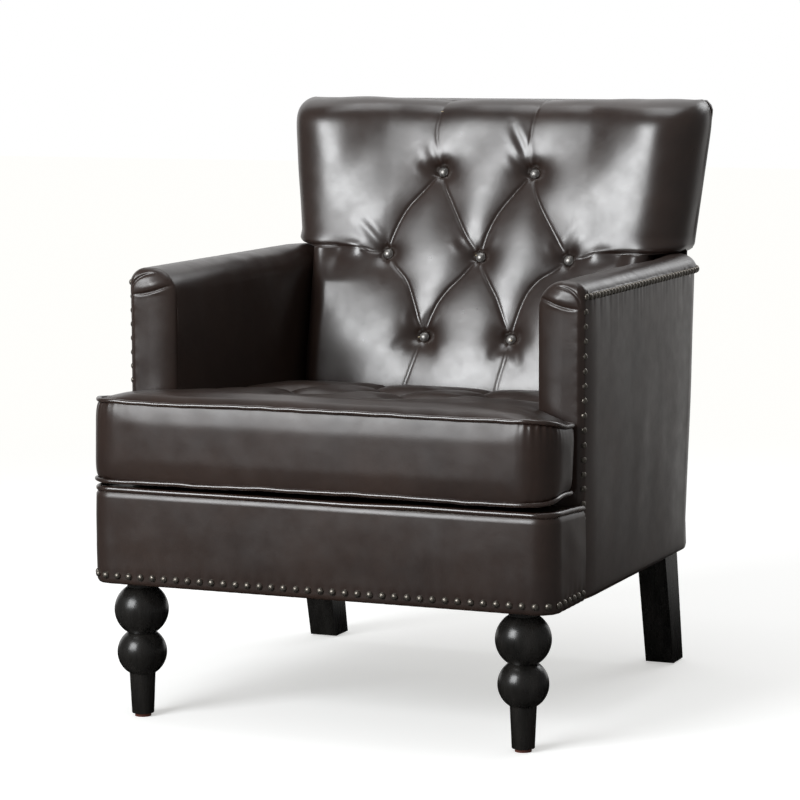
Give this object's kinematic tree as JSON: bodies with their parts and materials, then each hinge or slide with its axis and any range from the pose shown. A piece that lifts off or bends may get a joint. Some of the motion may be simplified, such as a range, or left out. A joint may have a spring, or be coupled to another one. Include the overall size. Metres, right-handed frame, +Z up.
{
  "type": "club chair",
  "caption": "Leather club chair with a button-tufted flared back, narrow straight arms, a loose T-shaped seat cushion, nail-head trim, turned front legs and raked rear legs.",
  "frame": {"origin": "on the floor, under the middle of the whole chair", "axes": "+X to the right as seen from the front, +Y from the front of the seat to the back, +Z up"},
  "size_m": [0.6982, 0.7339, 0.857],
  "materials": {
    "hardwood": "sawn",
    "spring_steel": "dull",
    "zinc_steel": "satin",
    "padding": "matte",
    "deck_cloth": "matte",
    "leather": "glossy",
    "padded_leather": "glossy",
    "welt_leather": "glossy",
    "button_metal": "aged",
    "twine": "matte",
    "webbing": "matte",
    "nail_metal": "antique",
    "dust_cloth": "matte",
    "black_wood": "satin",
    "front_glide_plastic": "matte",
    "rear_glide_plastic": "matte",
    "foam": "matte",
    "zip": "matte"
  },
  "bodies": {
    "chair": {"front_rail": "hardwood", "rail_return_left": "hardwood", "rail_return_right": "hardwood", "side_rail_left": "hardwood", "side_rail_right": "hardwood", "rear_rail": "hardwood", "arm_post_left": "hardwood", "arm_post_right": "hardwood", "arm_board_left": "hardwood", "arm_board_right": "hardwood", "arm_slat_left": "hardwood", "arm_slat_right": "hardwood", "back_post_left": "hardwood", "back_post_right": "hardwood", "back_top_rail": "hardwood", "back_middle_rail": "hardwood", "back_lower_rail": "hardwood", "corner_blocks": "hardwood", "seat_springs": "spring_steel", "spring_clips": "zinc_steel", "deck_pad": "padding", "deck_cloth": "deck_cloth", "deck_band": "leather", "rail_padding": "padding", "rail_cover": "leather", "rail_welt": "welt_leather", "arm_pad_left": "padding", "arm_pad_right": "padding", "arm_cover_left": "leather", "arm_cover_right": "leather", "arm_front_left": "leather", "arm_front_right": "leather", "side_cover_left": "leather", "side_cover_right": "leather", "inside_back": "padded_leather", "back_buttons": "button_metal", "button_ties": "twine", "back_webbing": "webbing", "back_padding": "padding", "outside_back": "leather", "rail_nails": "nail_metal", "nails_left": "nail_metal", "nails_right": "nail_metal", "dust_cover": "dust_cloth", "front_leg_left": "black_wood", "front_leg_right": "black_wood", "leg_bolts": "zinc_steel", "front_glides": "front_glide_plastic", "rear_leg_left": "black_wood", "rear_leg_right": "black_wood", "rear_glides": "rear_glide_plastic"},
    "cushion": {"cushion_cover": "padded_leather", "cushion_core": "foam", "cushion_welt_top": "welt_leather", "cushion_welt_bottom": "welt_leather", "cushion_zip": "zip", "cushion_ties": "twine"}
  },
  "joints": [
    {"name": "cushion_lift", "type": "slide", "parent": "chair", "child": "cushion", "axis": [0, 0, 1], "range_m": [0, 0.6]}
  ]
}
